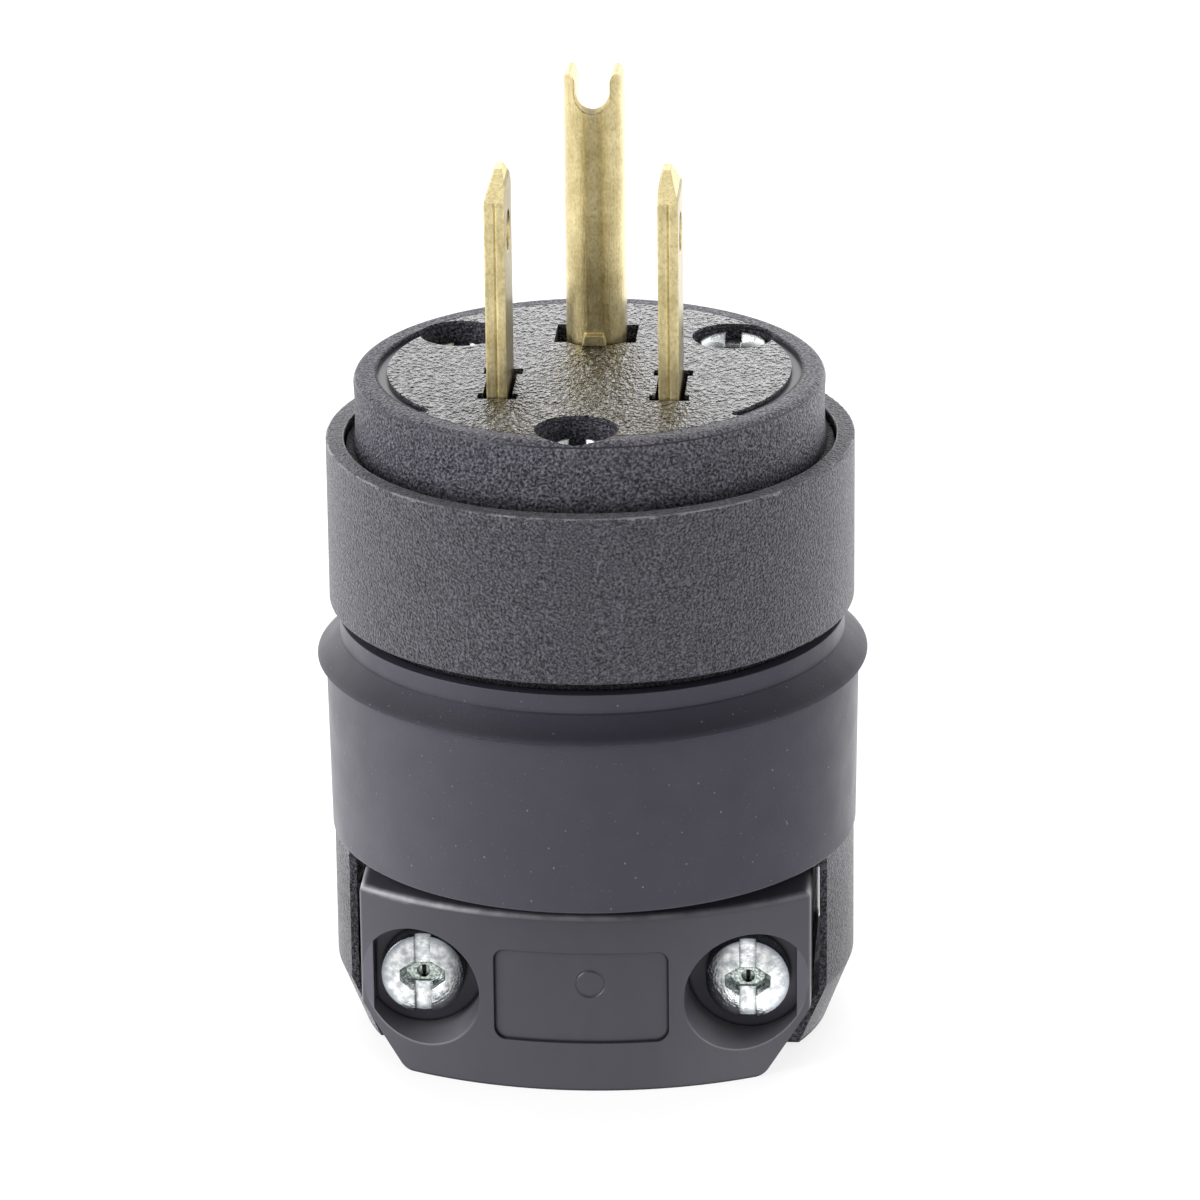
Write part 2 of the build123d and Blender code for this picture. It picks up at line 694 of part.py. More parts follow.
# Clamp screws across both halves, with their square nuts in the rear half
clamp_shank_length = clamp_well_floor_y + nut_floor_y + nut_thickness
for place, screw_x in (("left", -clamp_screw_x), ("right", clamp_screw_x)):
    head_plane = Plane((screw_x, -clamp_well_floor_y, clamp_screw_z), x_dir=(1, 0, 0), z_dir=(0, -1, 0))
    with BuildPart() as clamp_screw:
        add(make_screw(head_plane, clamp_head_radius, clamp_head_height,
                       clamp_shank_radius, clamp_shank_length))
    clamp_screw.part.label = f"clamp_screw_{place}"
    export_step(clamp_screw.part, f"parts/clamp_screw_{place}.step")

    with BuildPart() as clamp_nut:
        with BuildSketch(Plane.XZ.offset(-nut_floor_y)):
            with Locations((screw_x, clamp_screw_z)):
                Rectangle(nut_side, nut_side)
                Circle(clamp_shank_radius + fit_clearance / 2, mode=Mode.SUBTRACT)
        extrude(amount=-nut_thickness)
    clamp_nut.part.label = f"clamp_nut_{place}"
    export_step(clamp_nut.part, f"parts/clamp_nut_{place}.step")
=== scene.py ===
import math

import bpy
from mathutils import Matrix, Vector

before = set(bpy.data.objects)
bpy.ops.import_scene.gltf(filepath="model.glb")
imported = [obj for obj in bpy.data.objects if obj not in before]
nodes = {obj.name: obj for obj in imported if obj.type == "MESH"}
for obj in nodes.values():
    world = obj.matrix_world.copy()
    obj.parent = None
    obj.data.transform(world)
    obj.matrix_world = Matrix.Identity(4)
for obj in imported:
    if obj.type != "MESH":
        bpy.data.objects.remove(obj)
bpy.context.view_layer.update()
MM = 0.001
MM_PER_M = 1000.0

# Levels, radii and places on the plug that the finishes follow, in millimetres
FACE_MM = 51.3
GROOVE_DEPTH_MM = 0.35
GROOVE_RADIUS_MM = 15.9
SHELL_TOP_MM = 46.3
SHELL_RADIUS_MM = 19.83
SHELL_BORE_MM = 18.45
LIP_EDGE_MM = 29.1
BAND_NECK_MM = 30.9
CLAMP_TOP_MM = 14.15
CLAMP_WELL_MM = 4.6
CLAMP_OUTSIDE_Y_MM = -6.0
CLAMP_FRONT_Y_MM = -10.5
CLAMP_SCREW_X_MM = 12.25
CLAMP_SCREW_Z_MM = 7.1
SCREW_HEAD_Y_MM = -12.7
GATE_MARK_X_MM = 0.7
GATE_MARK_Z_MM = 8.6
GATE_MARK_RADIUS_MM = 1.05
BLADE_X_MM = 6.35
BLADE_THICKNESS_MM = 1.52
BLADE_TIP_MM = 64.0

# Camera: a long lens a little above the plug, turned slightly to its right
FRAME_PX = 1200
FOCAL_PX = 6739
SENSOR_MM = 36
AZIMUTH = math.radians(3.96)
ELEVATION = math.radians(20.25)
ROLL = math.radians(-0.64)
DISTANCE = 510.2 * MM
TARGET = Vector((0, 0, 31.3 * MM))
SLIDE_RIGHT = 0.58 * MM
SLIDE_UP = 1.40 * MM

# Floor and lamps, in metres
FLOOR_HALF = 3.0
FLOOR_DROP = 0.00002
LAMP_AIM = (0, 0, 0.035)


def colour(r, g, b):
    return (r, g, b, 1)


# Tones: where there are two, a noise mixes them
SHELL_TONES = colour(0.0285, 0.027, 0.039), colour(0.036, 0.034, 0.048)
COVER_TONES = colour(0.041, 0.039, 0.053), colour(0.052, 0.050, 0.066)
BAND_TONES = colour(0.030, 0.028, 0.042), colour(0.041, 0.038, 0.054)
CLAMP_TONES = colour(0.034, 0.032, 0.044), colour(0.044, 0.041, 0.055)
BLOCK_TONES = colour(0.035, 0.033, 0.038), colour(0.05, 0.047, 0.052)
BLADE_TONES = colour(0.90, 0.77, 0.43), colour(0.64, 0.53, 0.26)
PIN_TONES = colour(0.66, 0.56, 0.31), colour(0.45, 0.37, 0.18)
BRASS_SCREW_TONES = colour(0.75, 0.62, 0.32), colour(0.6, 0.48, 0.22)
ZINC_TONES = colour(0.86, 0.87, 0.86), colour(0.66, 0.69, 0.67)
DULL_ZINC_TONES = colour(0.48, 0.50, 0.50), colour(0.24, 0.26, 0.26)
GREEN_TONES = colour(0.10, 0.42, 0.18), colour(0.06, 0.30, 0.12)
HEAD_TONES = colour(0.90, 0.91, 0.91), colour(0.44, 0.47, 0.49)
RECESS_TONES = colour(0.16, 0.20, 0.18), colour(0.62, 0.68, 0.64)
HEAD_RIM_SHADE = colour(0.26, 0.28, 0.31)
HEAD_PIT_SHADE = colour(0.012, 0.012, 0.012)
DARK_DOT = colour(0.004, 0.004, 0.005)
PALE_DOT = colour(0.24, 0.24, 0.27)
WORN_AND_LIT_EDGE = colour(0.26, 0.26, 0.28)
LIT_BORE_EDGE = colour(0.35, 0.35, 0.36)
CREST_HIGHLIGHT_TINT = colour(0.98, 0.96, 1.0)
GROOVE_FLOOR = colour(0.030, 0.028, 0.036)
DUST = colour(0.26, 0.26, 0.30)
SHOULDER_LIGHT = colour(0.42, 0.42, 0.45)
GATE_MARK = colour(0.005, 0.005, 0.006)
WELL_EDGE_LIGHT = colour(0.20, 0.20, 0.22)
FLOOR_PAINT = colour(0.9, 0.9, 0.9)
WHITE = colour(1, 1, 1)

away = Vector((
    math.sin(AZIMUTH) * math.cos(ELEVATION),
    -math.cos(AZIMUTH) * math.cos(ELEVATION),
    math.sin(ELEVATION),
))
level = Vector((math.cos(AZIMUTH), math.sin(AZIMUTH), 0))
upward = away.cross(level)
right = level * math.cos(ROLL) + upward * math.sin(ROLL)
top = upward * math.cos(ROLL) - level * math.sin(ROLL)
eye = TARGET + away * DISTANCE + right * SLIDE_RIGHT + top * SLIDE_UP

camera_data = bpy.data.cameras.new("camera")
camera_data.sensor_width = SENSOR_MM
camera_data.sensor_fit = "HORIZONTAL"
camera_data.lens = SENSOR_MM * FOCAL_PX / FRAME_PX
camera_data.clip_start = 0.01
camera_data.clip_end = 50
camera = bpy.data.objects.new("camera", camera_data)
bpy.context.scene.collection.objects.link(camera)
camera.matrix_world = Matrix((
    (right.x, top.x, away.x, eye.x),
    (right.y, top.y, away.y, eye.y),
    (right.z, top.z, away.z, eye.z),
    (0, 0, 0, 1),
))
bpy.context.scene.camera = camera
bpy.context.scene.view_settings.view_transform = "Standard"


class Nodes:
    """Short calls for building one material's or the world's node tree."""

    # The sockets A, B and result of a Mix node, for each kind of data
    MIX_SOCKETS = {"FLOAT": (2, 3, 0), "VECTOR": (4, 5, 1), "RGBA": (6, 7, 2)}

    def __init__(self, owner):
        owner.use_nodes = True
        self.tree = owner.node_tree
        self.tree.nodes.clear()

    def add(self, kind, inputs=None, **settings):
        node = self.tree.nodes.new("ShaderNode" + kind)
        for name, value in settings.items():
            setattr(node, name, value)
        for name, value in (inputs or {}).items():
            self.put(node.inputs[name], value)
        return node

    def put(self, socket, value):
        if isinstance(value, bpy.types.NodeSocket):
            self.tree.links.new(value, socket)
        elif isinstance(value, bpy.types.Node):
            self.tree.links.new(value.outputs[0], socket)
        else:
            socket.default_value = value

    # Places

    def place(self, stretch=(1, 1, 1)):
        """The point on the piece in its own frame, in millimetres, stretched if asked."""
        point = self.add("TexCoord")
        size = [MM_PER_M * s for s in stretch]
        return self.add("Mapping", {"Vector": point.outputs["Object"], "Scale": size})

    def axes(self, vector):
        """The X, Y and Z of a place or a direction, by name."""
        return self.add("SeparateXYZ", {"Vector": vector}).outputs

    def length(self, vector):
        return self.add("VectorMath", {0: vector}, operation="LENGTH").outputs["Value"]

    def radius(self, where):
        """Distance from the plug's axis."""
        return self.length(self.add("VectorMath", {0: where, 1: (1, 1, 0)}, operation="MULTIPLY"))

    def diagonal(self, a, b):
        return self.math("SQRT", self.sum(self.times(a, a), self.times(b, b)))

    # Arithmetic

    def math(self, operation, *values, clamp=False):
        node = self.add("Math", operation=operation, use_clamp=clamp)
        for socket, value in zip(node.inputs, values):
            self.put(socket, value)
        return node

    def sum(self, first, *others):
        for value in others:
            first = self.math("ADD", first, value)
        return first

    def times(self, first, *others):
        for value in others:
            first = self.math("MULTIPLY", first, value)
        return first

    def minus(self, value, other):
        return self.math("SUBTRACT", value, other)

    def size(self, value):
        return self.math("ABSOLUTE", value)

    def above(self, value, limit):
        return self.math("GREATER_THAN", value, limit)

    def below(self, value, limit):
        return self.math("LESS_THAN", value, limit)

    # Patterns and tones

    def noise(self, where, scale, detail=2.0, roughness=0.5, distortion=0.0):
        return self.add("TexNoise", {
            "Vector": where, "Scale": scale, "Detail": detail,
            "Roughness": roughness, "Distortion": distortion,
        })

    def ramp(self, factor, *stops):
        """Grey levels along a factor from 0 to 1."""
        node = self.add("ValToRGB", {"Fac": factor})
        points = node.color_ramp.elements
        while len(points) < len(stops):
            points.new(0.5)
        for point, (position, grey) in zip(points, stops):
            point.position = position
            point.color = colour(grey, grey, grey)
        return node

    def over(self, value, *stops):
        """Grey levels whose stops are given in the value's own unit, the lowest first."""
        low, high = stops[0][0], stops[-1][0]
        span = high - low
        factor = self.math("MULTIPLY_ADD", value, 1 / span, -low / span)
        return self.ramp(factor, *[((at - low) / span, grey) for at, grey in stops])

    def spots(self, where, scale, size, choice, low, high):
        """Small round marks, kept only where the ramp over the choice noise lets them."""
        cells = self.add("TexVoronoi", {"Vector": where, "Scale": scale, "Randomness": 1.0})
        marks = self.ramp(cells.outputs["Distance"], (size, 1.0), (size * 2, 0.0))
        return self.times(marks, self.ramp(choice, low, high))

    def crevice_shade(self, reach, low=0.2):
        """Painted shade: 1 on open surface, falling in the corners and gaps narrower than the
        reach, in mm.
        """
        open_sky = self.add("AmbientOcclusion", {"Distance": reach * MM}, samples=8)
        return self.ramp(open_sky.outputs["AO"], (0.45, low), (0.85, 1.0))

    def mix(self, factor, a, b, kind="RGBA", blend="MIX"):
        node = self.add("Mix", data_type=kind, blend_type=blend)
        at_a, at_b, at_result = self.MIX_SOCKETS[kind]
        self.put(node.inputs[0], factor)
        self.put(node.inputs[at_a], a)
        self.put(node.inputs[at_b], b)
        return node.outputs[at_result]

    def multiply(self, tone, factor):
        return self.mix(1.0, tone, factor, blend="MULTIPLY")

    # Surface

    def bevel(self, radius, samples=6):
        """A normal that rounds the edges, radius in millimetres."""
        return self.add("Bevel", {"Radius": radius * MM}, samples=samples)

    def bump(self, height, strength, depth, edge):
        """The height as relief on the rounded edges, depth in millimetres."""
        return self.add("Bump", {
            "Strength": strength, "Distance": depth * MM, "Height": height, "Normal": edge,
        })

    def finish(self, **inputs):
        names = {name.replace("_", " "): value for name, value in inputs.items()}
        shader = self.add("BsdfPrincipled", names)
        self.add("OutputMaterial", {"Surface": shader})


def material(name):
    made = bpy.data.materials.new(name)
    return made, Nodes(made)


def dress(made, *names):
    """Gives a material to the carried-over nodes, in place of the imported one."""
    for name in names:
        mesh = nodes[name].data
        mesh.materials.clear()
        mesh.materials.append(made)


def shell_plastic():
    """Spark-eroded moulding: low grain, a few light and dark dots, a worn top edge with a painted
    highlight, a painted highlight on the bore's edge, painted shade on the ears and in the gaps.
    """
    made, n = material("shell_plastic")
    where = n.place()
    at = n.axes(where)
    radius = n.radius(where)
    grain = n.noise(where, 5.3, 2.0, 0.55)
    tone = n.mix(n.noise(where, 0.16, 3.0), *SHELL_TONES)
    tone = n.multiply(tone, n.ramp(grain, (0.30, 0.22), (0.50, 1.0), (0.70, 2.7)))

    choice = n.noise(where, 0.8, 1.0)
    dark = n.spots(where, 1.05, 0.06, choice, (0.38, 1.0), (0.45, 0.0))
    pale = n.spots(where, 1.05, 0.055, choice, (0.55, 0.0), (0.62, 1.0))
    nicks = n.ramp(n.noise(where, 1.5, 2.0), (0.56, 0.0), (0.66, 0.12))
    rubbed_and_lit = n.ramp(n.noise(where, 0.6, 2.0), (0.42, 0.12), (0.62, 0.9))
    # Partly real wear and nicks, partly a painted highlight along the collar's top outer edge
    top_edge = n.times(
        n.above(n.sum(at["Z"], nicks), SHELL_TOP_MM - 0.09),
        n.above(radius, SHELL_RADIUS_MM - 0.14),
    )
    bore_edge = n.times(n.above(at["Z"], SHELL_TOP_MM - 0.1), n.below(radius, SHELL_BORE_MM + 0.13))
    tone = n.mix(n.times(dark, 0.8), tone, DARK_DOT)
    tone = n.mix(n.times(pale, 0.6), tone, PALE_DOT)
    tone = n.mix(n.times(top_edge, rubbed_and_lit), tone, WORN_AND_LIT_EDGE)
    tone = n.mix(n.times(bore_edge, 0.6), tone, LIT_BORE_EDGE)

    # Painted shade: the ears beside the clamp are darker and duller towards their feet, and on the
    # left
    ears = n.over(at["Z"], (11.0, 0.72), (15.6, 1.0))
    left = n.over(at["X"], (-19.0, 0.82), (-14.0, 1.0))
    left = n.math("MAXIMUM", left, n.above(at["Z"], CLAMP_TOP_MM + 1))
    shade = n.times(n.crevice_shade(0.9, 0.1), ears, left)
    gloss = n.times(n.ramp(grain, (0.34, 0.25), (0.52, 0.62), (0.68, 1.0)), shade)
    n.finish(
        Base_Color=n.multiply(tone, shade),
        Roughness=0.46,
        Specular_IOR_Level=gloss,
        Sheen_Weight=n.times(shade, 0.18),
        Sheen_Roughness=0.3,
        Normal=n.bump(grain, 1.0, 0.5, n.bevel(0.07)),
    )
    return made


def cover_plastic():
    """Glossy rippled face inside the rim with painted highlights on its crests; fine sand on the
    rim and the side; smooth grooves; painted shade at the face's edge and inside the collar.
    """
    made, n = material("cover_plastic")
    where = n.place()
    at = n.axes(where)
    radius = n.radius(where)
    on_top = n.above(at["Z"], FACE_MM - 0.06)
    face = n.times(on_top, n.below(radius, GROOVE_RADIUS_MM))
    groove = n.below(n.size(n.minus(at["Z"], FACE_MM - GROOVE_DEPTH_MM)), 0.05)

    ripple = n.noise(n.place(stretch=(1.0, 0.6, 1.0)), 3.5, 1.5, 0.5, 0.3)
    swell = n.noise(where, 1.1, 2.0)
    sand = n.noise(where, 4.8, 2.0, 0.55)
    waves = n.sum(n.times(ripple, 0.62), n.times(swell, 0.15))
    height = n.mix(face, n.times(sand, 0.9), waves, kind="FLOAT")
    height = n.times(height, n.minus(1.0, groove))

    tone = n.mix(n.noise(where, 0.3, 2.0), *COVER_TONES)
    sanded = n.multiply(tone, n.ramp(sand, (0.30, 0.22), (0.50, 1.0), (0.70, 3.0)))
    # Painted highlights: the ripple's crests on the face are lighter
    crest_highlights = n.ramp(ripple, (0.40, 0.003), (0.50, 0.012), (0.58, 0.038), (0.68, 0.11))
    tone = n.mix(face, sanded, n.multiply(CREST_HIGHLIGHT_TINT, crest_highlights))
    tone = n.mix(groove, tone, GROOVE_FLOOR)

    # Painted shade: a dark line round the face, in the corners, and on the side inside the collar
    off_line = n.size(n.minus(radius, GROOVE_RADIUS_MM + 0.08))
    line = n.times(n.ramp(off_line, (0.06, 1.0), (0.12, 0.0)), on_top)
    inside = n.over(at["Z"], (SHELL_TOP_MM - 0.1, 0.40), (SHELL_TOP_MM + 0.9, 1.0))
    shade = n.times(n.crevice_shade(0.4), inside, n.minus(1.0, n.times(line, 0.6)))

    # The face shines more towards the rear and the right, the sand towards the right
    rearward = n.over(at["Y"], (-15.0, 0.45), (-5.0, 0.68), (3.33, 0.92), (13.33, 1.15))
    rightward = n.over(at["X"], (-13.33, 0.64), (0.0, 0.86), (13.33, 1.04))
    shine = n.ramp(ripple, (0.36, 0.30), (0.50, 0.80), (0.60, 1.0))
    shine = n.times(shine, n.times(rearward, rightward))
    sideways = n.over(at["X"], (-16.8, 0.40), (-8.0, 0.66), (10.0, 0.8), (18.0, 1.0))
    sand_shine = n.times(n.ramp(sand, (0.35, 0.20), (0.62, 0.85)), n.times(sideways, 1.5))
    gloss = n.mix(face, sand_shine, shine, kind="FLOAT")
    gloss = n.mix(groove, gloss, 0.26, kind="FLOAT")
    n.finish(
        Base_Color=n.multiply(tone, shade),
        Roughness=n.minus(n.minus(0.50, n.times(face, 0.33)), n.times(groove, 0.18)),
        Specular_IOR_Level=n.times(gloss, shade),
        Normal=n.bump(height, 1.0, 0.5, n.bevel(0.10)),
    )
    return made


def band_rubber():
    """Smooth moulded rubber: soft mottling, faint dust, a shaded lip, and painted shade on the
    slope above the lip and in the crease at the neck.
    """
    made, n = material("band_rubber")
    where = n.place()
    at = n.axes(where)
    wide = n.noise(where, 0.35, 3.0)
    fine = n.noise(where, 4.5, 3.0)
    choice = n.noise(where, 0.9, 1.0)
    large = n.spots(where, 1.15, 0.05, choice, (0.46, 0.0), (0.60, 1.0))
    small = n.spots(where, 2.1, 0.07, choice, (0.36, 0.7), (0.56, 0.0))
    dust = n.sum(large, n.times(small, 0.5))
    # Painted shade on the slope above the lip's edge and in the crease at the neck
    crease = n.over(
        at["Z"],
        (LIP_EDGE_MM, 1.0), (LIP_EDGE_MM + 0.35, 0.55), (LIP_EDGE_MM + 0.6, 0.55),
        (BAND_NECK_MM - 0.08, 0.85), (BAND_NECK_MM - 0.01, 0.35),
        (BAND_NECK_MM + 0.06, 0.35), (BAND_NECK_MM + 0.12, 1.0),
    )
    tone = n.mix(wide, *BAND_TONES)
    tone = n.mix(n.times(dust, 0.55), tone, DUST)
    rightward = n.over(at["X"], (0.0, 0.43), (15.0, 0.23))
    lip = n.over(
        at["Z"],
        (LIP_EDGE_MM - 0.5, 1.0), (LIP_EDGE_MM, 0.6),
        (BAND_NECK_MM, 0.6), (BAND_NECK_MM + 0.4, 1.0),
    )
    height = n.sum(n.times(fine, 0.6), n.times(dust, 0.4))
    n.finish(
        Base_Color=n.multiply(tone, crease),
        Roughness=n.ramp(wide, (0.3, 0.50), (0.7, 0.43)),
        Specular_IOR_Level=n.times(rightward, lip),
        Normal=n.bump(height, 0.4, 0.06, n.bevel(0.12)),
    )
    return made


def clamp_plastic():
    """Satin moulding: flow marks, a round gate mark, a painted highlight along the shoulder,
    painted light in the wells and on their lit edges, painted shade in the corners.
    """
    made, n = material("clamp_plastic")
    where = n.place()
    at = n.axes(where)
    outside = n.below(at["Y"], CLAMP_OUTSIDE_Y_MM)
    front = n.below(at["Y"], CLAMP_FRONT_Y_MM)
    flow = n.noise(n.place(stretch=(1, 1, 0.4)), 0.4, 3.0, 0.6, 0.4)
    fine = n.noise(where, 6.0, 2.0)
    tone = n.mix(flow, *CLAMP_TONES)

    # Painted highlight along the top of the front face, stronger on the left and broken into
    # streaks
    shoulder = n.over(
        at["Z"],
        (CLAMP_TOP_MM - 0.45, 0.0), (CLAMP_TOP_MM - 0.20, 1.0), (CLAMP_TOP_MM + 0.02, 0.0),
    )
    leftward = n.over(at["X"], (-15.0, 1.0), (-6.67, 0.75), (10.0, 0.2))
    highlight_streaks = n.ramp(n.noise(where, 0.6, 3.0), (0.32, 0.45), (0.60, 1.0))
    tone = n.mix(n.times(shoulder, leftward, highlight_streaks, outside, 0.9), tone, SHOULDER_LIGHT)

    from_gate = n.diagonal(
        n.minus(at["X"], GATE_MARK_X_MM),
        n.minus(at["Z"], GATE_MARK_Z_MM),
    )
    ring = n.size(n.minus(from_gate, GATE_MARK_RADIUS_MM))
    mark = n.times(n.ramp(ring, (0.02, 1.0), (0.12, 0.0)), front)
    tone = n.mix(n.times(mark, 0.55), tone, GATE_MARK)

    from_screw = n.diagonal(
        n.minus(n.size(at["X"]), CLAMP_SCREW_X_MM),
        n.minus(at["Z"], CLAMP_SCREW_Z_MM),
    )
    # Painted light: the wells are lighter inside, on the front half
    well = n.over(from_screw, (CLAMP_WELL_MM - 0.05, 1.0), (CLAMP_WELL_MM + 0.02, 0.0))
    tone = n.multiply(tone, n.math("MULTIPLY_ADD", n.times(well, outside), 0.7, 1.0))
    off_edge = n.size(n.minus(from_screw, CLAMP_WELL_MM + 0.03))
    lower = n.over(at["Z"], (CLAMP_SCREW_Z_MM - 3.6, 0.55), (CLAMP_SCREW_Z_MM - 1.2, 0.0))
    lit = n.times(n.ramp(off_edge, (0.04, 1.0), (0.13, 0.0)), lower, front)
    tone = n.mix(lit, tone, WELL_EDGE_LIGHT)

    upper = n.over(at["Z"], (CLAMP_TOP_MM - 0.6, 0.0), (CLAMP_TOP_MM - 0.3, 1.0))
    edge = n.mix(upper, n.bevel(0.09), n.bevel(0.40, samples=8), kind="VECTOR")
    shade = n.crevice_shade(0.35)
    n.finish(
        Base_Color=n.multiply(tone, shade),
        Roughness=n.ramp(flow, (0.3, 0.42), (0.7, 0.36)),
        Specular_IOR_Level=n.times(shade, 0.5),
        Normal=n.bump(n.minus(n.times(fine, 0.05), mark), 1.0, 0.09, edge),
    )
    return made


def block_plastic():
    """Plain dark moulding inside the plug."""
    made, n = material("block_plastic")
    fine = n.noise(n.place(), 3.0, 2.0)
    n.finish(
        Base_Color=n.mix(fine, *BLOCK_TONES),
        Roughness=n.ramp(fine, (0.3, 0.6), (0.7, 0.5)),
        Normal=n.bump(fine, 0.2, 0.05, n.bevel(0.2, samples=4)),
    )
    return made


def sheet_brass(name, tones, roughness, rounding=0.14, flat_shade=1.0, tips=0.0):
    """Rolled brass: streaks along the blade, soft tarnish and small marks.

    A shade factor below 1 paints shade on the blades' broad sides; tips above 0 make their bevels
    less metallic.
    """
    made, n = material(name)
    light, dark = tones
    at = n.axes(n.place())
    facing = n.axes(n.add("NewGeometry").outputs["Normal"])
    streaks = n.noise(n.place(stretch=(1, 1, 0.06)), 7.0, 3.0, 0.6)
    blotch = n.noise(n.place(), 0.45, 3.0)
    marks = n.noise(n.place(stretch=(1, 1, 0.5)), 2.6, 3.0)
    grain = n.noise(n.place(stretch=(1, 1, 0.6)), 5.5, 3.0, 0.6)
    tone = n.mix(n.ramp(blotch, (0.32, 0.0), (0.68, 1.0)), light, dark)
    tone = n.mix(n.times(n.ramp(streaks, (0.42, 0.0), (0.7, 1.0)), 0.4), tone, dark)
    tone = n.multiply(tone, n.ramp(grain, (0.30, 0.75), (0.52, 1.0), (0.72, 1.12)))

    # Painted shade: the blades' broad sides, which face sideways, are darker
    off_middle = n.size(n.minus(n.size(at["X"]), BLADE_X_MM))
    broad = n.above(off_middle, BLADE_THICKNESS_MM / 2 - 0.12)
    flat = n.times(n.size(facing["X"]), broad)
    tone = n.multiply(tone, n.ramp(flat, (0.45, 1.0), (0.80, flat_shade)))
    ground = n.times(n.above(at["Z"], BLADE_TIP_MM), n.above(facing["Z"], 0.12), tips)
    rough = n.ramp(streaks, (0.3, roughness + 0.07), (0.7, roughness - 0.05))
    height = n.sum(n.times(streaks, 0.8), n.times(marks, 0.4), n.times(grain, 0.7))
    n.finish(
        Base_Color=tone,
        Metallic=n.minus(1.0, n.times(ground, 0.75)),
        Roughness=n.sum(rough, n.times(ground, 0.2)),
        Normal=n.bump(height, 0.5, 0.05, n.bevel(rounding, samples=8)),
    )
    return made


def plated_steel(name, tones, roughness):
    """Plated steel with a slight mottle."""
    made, n = material(name)
    where = n.place()
    mottle = n.noise(where, 1.1, 3.0)
    fine = n.noise(where, 5.0, 3.0)
    n.finish(
        Base_Color=n.mix(n.ramp(mottle, (0.35, 0.0), (0.7, 1.0)), *tones),
        Metallic=1.0,
        Roughness=n.ramp(mottle, (0.3, roughness + 0.05), (0.7, roughness - 0.04)),
        Normal=n.bump(fine, 0.3, 0.05, n.bevel(0.16)),
    )
    return made


def clamp_screw_zinc():
    """Bright plated head with turning rings and a greenish recess; painted shade at the head's rim,
    in the pit, on the side towards the plug's middle and in the corners.
    """
    made, n = material("clamp_screw_zinc")
    where = n.place()
    at = n.axes(where)
    side = n.minus(n.size(at["X"]), CLAMP_SCREW_X_MM)
    rise = n.minus(at["Z"], CLAMP_SCREW_Z_MM)
    out = n.diagonal(side, rise)
    depth = n.minus(at["Y"], SCREW_HEAD_Y_MM)
    mottle = n.noise(where, 1.6, 3.0)
    fine = n.noise(where, 5.0, 3.0)
    rings = n.math("SINE", n.math("MULTIPLY_ADD", out, 26.0, n.times(mottle, 5.0)))

    tone = n.mix(n.ramp(mottle, (0.38, 0.0), (0.62, 1.0)), *HEAD_TONES)
    # Painted shade round the head's rim
    tone = n.mix(n.over(out, (2.55, 0.0), (3.05, 1.0)), tone, HEAD_RIM_SHADE)
    greenish = n.mix(n.ramp(fine, (0.35, 0.0), (0.65, 1.0)), *RECESS_TONES)
    tone = n.mix(n.ramp(depth, (0.97, 0.0), (1.0, 1.0)), tone, greenish)
    # Painted shade: a dark slit at the bottom of the recess
    core = n.ramp(n.diagonal(n.times(side, 3.2), rise), (0.50, 1.0), (0.65, 0.0))
    tone = n.mix(n.times(n.above(depth, 1.12), core), tone, HEAD_PIT_SHADE)
    # Painted shade on the head's side towards the plug's middle, where the well's inner wall falls
    tone = n.multiply(tone, n.over(side, (-3.0, 0.22), (-2.0, 0.55), (-1.4, 1.0)))
    height = n.sum(n.times(fine, 0.8), n.times(rings, 0.04), n.times(mottle, 1.2))
    n.finish(
        Base_Color=n.multiply(tone, n.crevice_shade(0.5, 0.35)),
        Metallic=1.0,
        Roughness=0.17,
        Normal=n.bump(height, 0.5, 0.06, n.bevel(0.14)),
    )
    return made


dress(shell_plastic(), "outer_shell")
dress(cover_plastic(), "front_cover")
dress(band_rubber(), "grip_band")
dress(clamp_plastic(), "clamp_front", "clamp_rear")
dress(block_plastic(), "terminal_block")
dress(sheet_brass("blade_brass", BLADE_TONES, 0.34, rounding=0.26, flat_shade=0.42, tips=1.0),
      "blade_line", "blade_neutral")
dress(sheet_brass("pin_brass", PIN_TONES, 0.34), "ground_pin")
dress(sheet_brass("screw_brass", BRASS_SCREW_TONES, 0.26), "terminal_screw_line")
dress(plated_steel("zinc_steel", ZINC_TONES, 0.24),
      "clamp_nut_left", "clamp_nut_right", "terminal_screw_neutral",
      "pressure_plate_line", "pressure_plate_neutral", "pressure_plate_ground")
dress(clamp_screw_zinc(), "clamp_screw_left", "clamp_screw_right")
dress(plated_steel("dull_zinc", DULL_ZINC_TONES, 0.22),
      "assembly_screw_front", "assembly_screw_rear_left", "assembly_screw_rear_right")
dress(plated_steel("green_steel", GREEN_TONES, 0.35), "terminal_screw_ground")


def white_sweep():
    """A world that is white for the camera, with its own light levels round the plug."""
    world = bpy.data.worlds.new("studio")
    bpy.context.scene.world = world
    n = Nodes(world)
    rays = n.add("LightPath").outputs
    seen = n.math("ADD", rays["Is Camera Ray"], rays["Is Transmission Ray"], clamp=True)
    toward = n.axes(n.add("TexCoord").outputs["Generated"])

    # Light that falls on the plug
    around = n.over(toward["Y"], (-1.0, 0.55), (-0.5, 0.65), (0.0, 1.0), (0.5, 1.0))
    height = n.ramp(toward["Z"], (0.34, 1.5), (0.62, 0.55))
    falling = n.times(around, height)

    # What glossy surfaces mirror
    rim = n.over(toward["Y"], (-1.0, 0.55), (-0.5, 0.65), (0.0, 1.0), (0.5, 1.15), (0.84, 1.3))
    sky = n.ramp(toward["Z"], (0.0, 1.7), (0.40, 2.1), (0.56, 0.6), (0.75, 0.15))
    rightward = n.over(toward["X"], (0.6, 1.0), (0.94, 0.7))
    mirrored = n.times(rim, sky, rightward)

    light = n.mix(rays["Is Glossy Ray"], falling, mirrored)
    back = n.add("Background", {"Color": n.mix(seen, light, WHITE), "Strength": 1.0})
    n.add("OutputWorld", {"Surface": back})


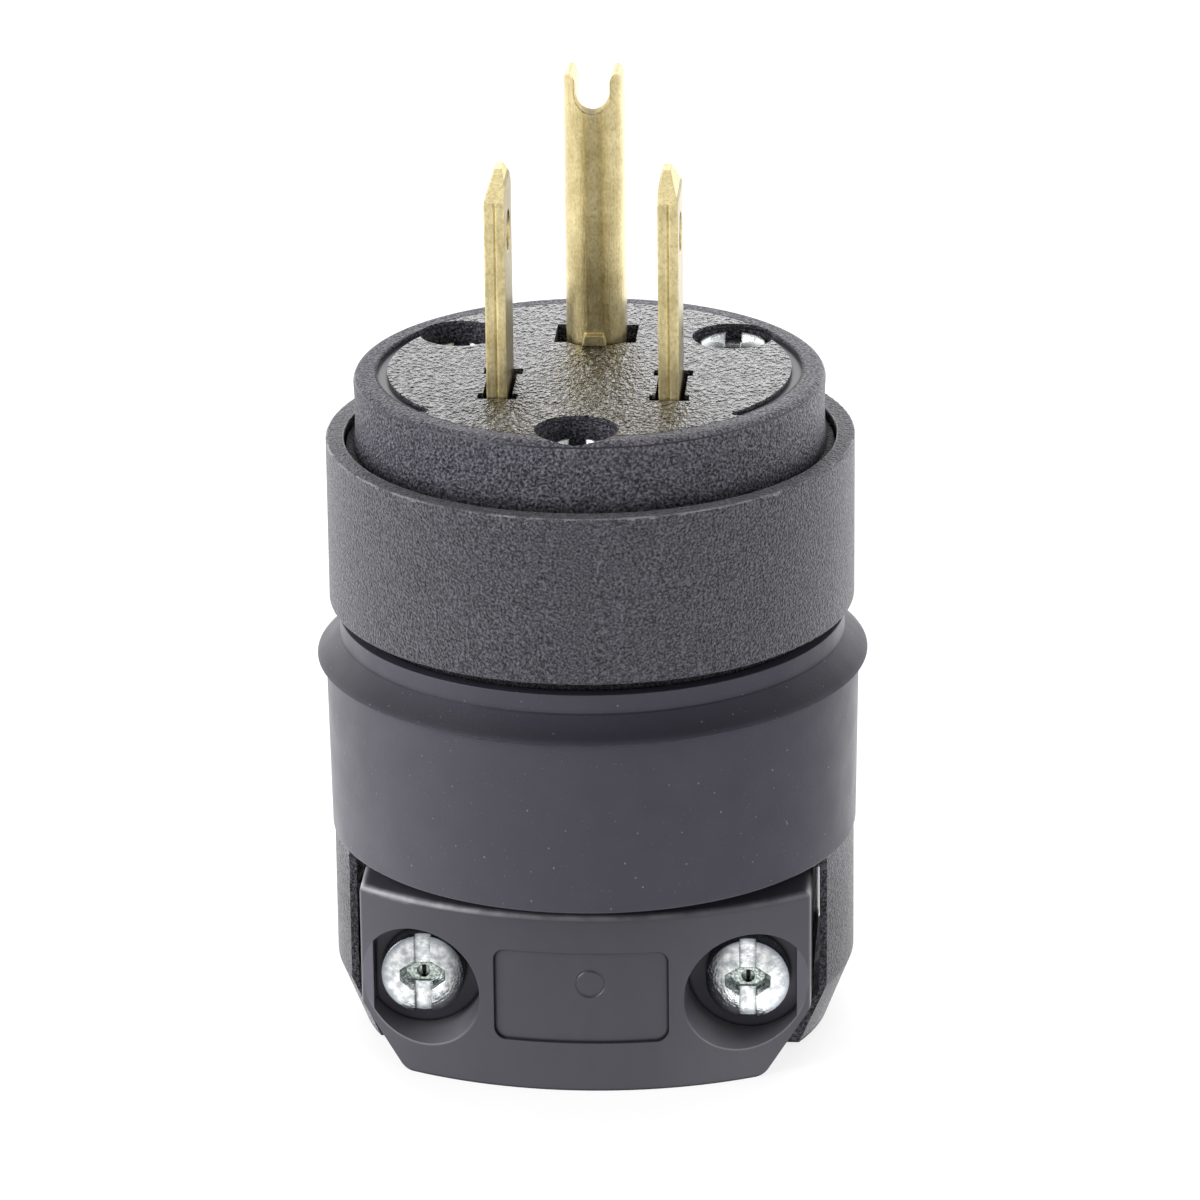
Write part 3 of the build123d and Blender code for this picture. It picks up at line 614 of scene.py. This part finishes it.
def white_floor():
    """A white floor that catches a soft shadow and is mirrored brighter near the plug."""
    mesh = bpy.data.meshes.new("floor")
    half = FLOOR_HALF
    corners = [(-half, -half, 0), (half, -half, 0), (half, half, 0), (-half, half, 0)]
    mesh.from_pydata(corners, [], [(0, 1, 2, 3)])
    floor = bpy.data.objects.new("floor", mesh)
    bpy.context.scene.collection.objects.link(floor)
    floor.location.z = -FLOOR_DROP

    made, n = material("floor_white")
    rays = n.add("LightPath").outputs
    seen = n.math("ADD", rays["Is Camera Ray"], rays["Is Transmission Ray"], clamp=True)
    point = n.add("TexCoord").outputs["Object"]
    toward = n.axes(n.add("VectorMath", {0: point}, operation="NORMALIZE"))
    around = n.over(
        toward["Y"],
        (-1.0, 0.50), (-0.72, 0.56), (-0.28, 1.0), (0.2, 1.0), (0.76, 1.25),
    )
    near = n.over(n.length(point), (0.0225, 2.9), (0.0375, 2.05), (0.055, 1.75), (0.08, 1.5))
    right_end = n.over(toward["X"], (0.6, 1.0), (0.94, 0.7))
    right_rise = n.over(toward["X"], (0.24, 1.0), (0.68, 1.5), (0.86, 1.1))
    mirrored = n.times(around, near, n.times(right_end, right_rise), rays["Is Glossy Ray"])
    glow = n.add("Emission", {
        "Color": WHITE, "Strength": n.sum(n.times(seen, 1.08), mirrored),
    })
    paint = n.add("BsdfDiffuse", {"Color": FLOOR_PAINT})
    share = n.math("ADD", n.times(seen, 0.72), n.times(rays["Is Glossy Ray"], 0.9), clamp=True)
    n.add("OutputMaterial", {"Surface": n.add("MixShader", {0: share, 1: paint, 2: glow})})
    mesh.materials.append(made)


def lamp(name, position, size, power):
    data = bpy.data.lights.new(name, "AREA")
    data.shape = "RECTANGLE"
    data.size, data.size_y = size
    data.energy = power
    made = bpy.data.objects.new(name, data)
    bpy.context.scene.collection.objects.link(made)
    made.location = position
    heading = Vector(LAMP_AIM) - Vector(position)
    made.rotation_euler = heading.to_track_quat("-Z", "Y").to_euler()
    return made


white_sweep()
white_floor()
lamp("key_left", (-0.60, -0.30, 0.35), (0.5, 0.5), 4.6)
lamp("fill_right", (0.65, 0.0, 0.30), (0.4, 0.5), 1.2)
lamp("top_back", (0.0, 0.45, 0.55), (0.8, 0.4), 6.0).visible_glossy = False
